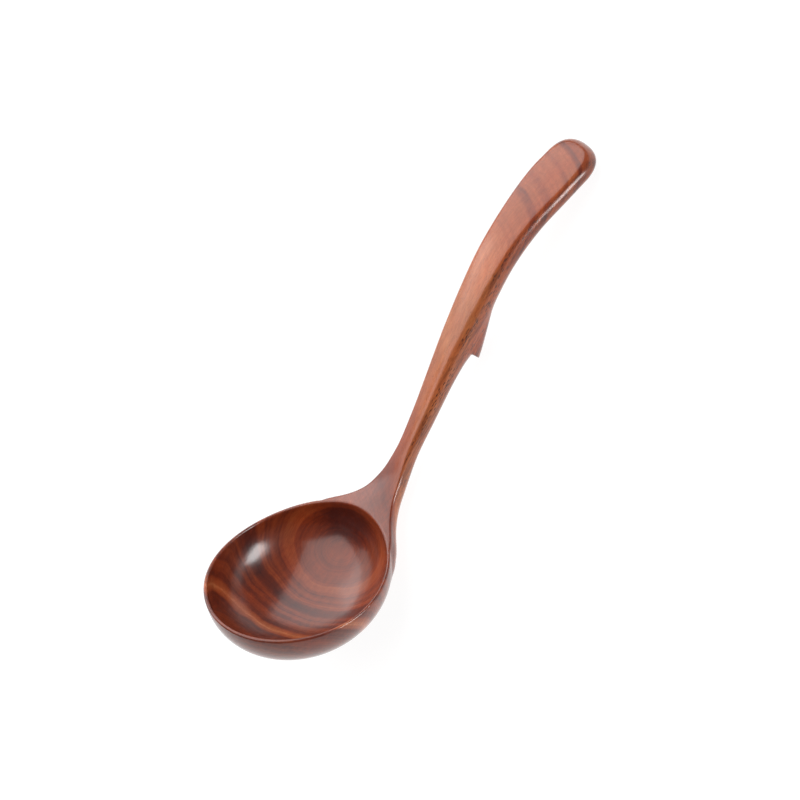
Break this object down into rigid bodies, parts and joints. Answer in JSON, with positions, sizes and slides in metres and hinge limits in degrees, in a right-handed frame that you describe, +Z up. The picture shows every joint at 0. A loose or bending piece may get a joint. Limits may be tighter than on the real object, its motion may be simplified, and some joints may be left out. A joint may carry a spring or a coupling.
{
  "type": "wooden soup ladle",
  "caption": "Carved hardwood soup ladle: round thin-lipped bowl, flared neck, S-curved handle and a step hook under the handle to hang on a pot's rim.",
  "frame": {"origin": "middle of the bounding box's underside, on the level surface that the underside of the bowl and the end of the handle both touch when the ladle lies at rest", "axes": "+X along the ladle from the bowl towards the end of the handle, +Y across it, +Z up from the surface it lies on"},
  "size_m": [0.2648, 0.0842, 0.0621],
  "materials": {
    "wood": "satin lacquer over reddish-brown hardwood"
  },
  "bodies": {
    "root": {"bowl": "wood", "neck": "wood", "handle": "wood", "pot_hook": "wood"}
  },
  "joints": []
}
